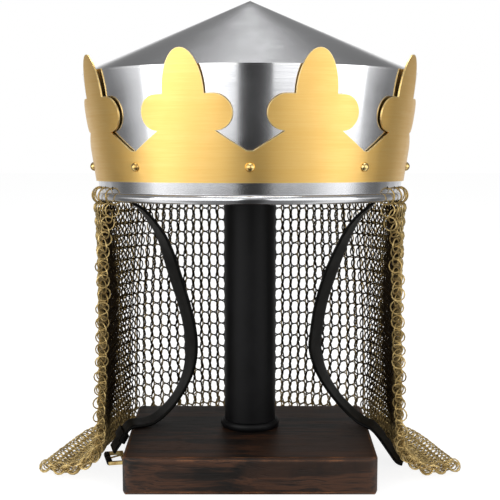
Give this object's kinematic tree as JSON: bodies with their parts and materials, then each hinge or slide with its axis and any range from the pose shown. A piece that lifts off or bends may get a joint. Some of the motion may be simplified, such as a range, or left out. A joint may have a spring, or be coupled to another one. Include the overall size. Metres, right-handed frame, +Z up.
{
  "type": "crowned helmet with mail aventail on a post stand",
  "caption": "Flat-sided conical steel helmet with a fleured brass crown, a hanging brass mail neck guard, leather chin straps and a black post stand on a dark wooden base.",
  "frame": {"origin": "middle of the wooden base's underside, on the table", "axes": "+Z up, +Y towards the back of the helmet, +X to its own left side as seen from behind, so to the right of someone who faces its open front"},
  "size_m": [0.3354, 0.295, 0.3777],
  "materials": {
    "base_wood": "oiled dark hardwood, worn at its front top edge",
    "stand_black": "satin black paint",
    "hardware_steel": "plain zinc-grey fixings",
    "felt": "dense grey wool felt",
    "skull_steel": "satin, brushed round the axis",
    "crown_brass": "satin, finely brushed, bright cut edges",
    "rivet_brass": "polished domes",
    "liner_leather": "dark brown, waxed",
    "lace_leather": "tan lace",
    "strap_leather": "black, lightly worn",
    "mail_brass": "aged links with a dark patina"
  },
  "bodies": {
    "stand": {"base_block": "base_wood", "tie_nut": "hardware_steel", "tie_washer": "hardware_steel", "tie_rod": "hardware_steel", "post_tube": "stand_black", "foot_collar": "stand_black", "post_head": "stand_black", "head_pad": "felt"},
    "helmet": {"skull_wall": "skull_steel", "rim_wire": "hardware_steel", "skull_cone": "skull_steel", "crown_band": "crown_brass", "crown_rivets": "rivet_brass", "rivet_burrs": "rivet_brass", "lap_rivets": "rivet_brass", "liner_band": "liner_leather", "liner_tongues": "liner_leather", "liner_lace": "lace_leather", "strap_left": "strap_leather", "strap_right": "strap_leather", "strap_keeper": "strap_leather", "strap_fold": "strap_leather", "buckle_bar": "rivet_brass", "hanging_rings": "mail_brass", "mail_curtain": "mail_brass"},
    "buckle": {"buckle_frame": "rivet_brass"},
    "prong": {"buckle_prong": "rivet_brass"}
  },
  "joints": [
    {"name": "helmet_lift", "type": "slide", "parent": "stand", "child": "helmet", "axis": [0, 0, 1], "range_m": [0, 0.0003]},
    {"name": "buckle_turn", "type": "hinge", "parent": "helmet", "child": "buckle", "pos_m": [-0.1181, 0.0074, 0.0029], "axis": [0.2079, -0.9781, 0], "range_deg": [0, 20]},
    {"name": "prong_turn", "type": "hinge", "parent": "buckle", "child": "prong", "pos_m": [-0.1181, 0.0074, 0.0029], "axis": [0.2079, -0.9781, 0], "range_deg": [0, 8]}
  ]
}
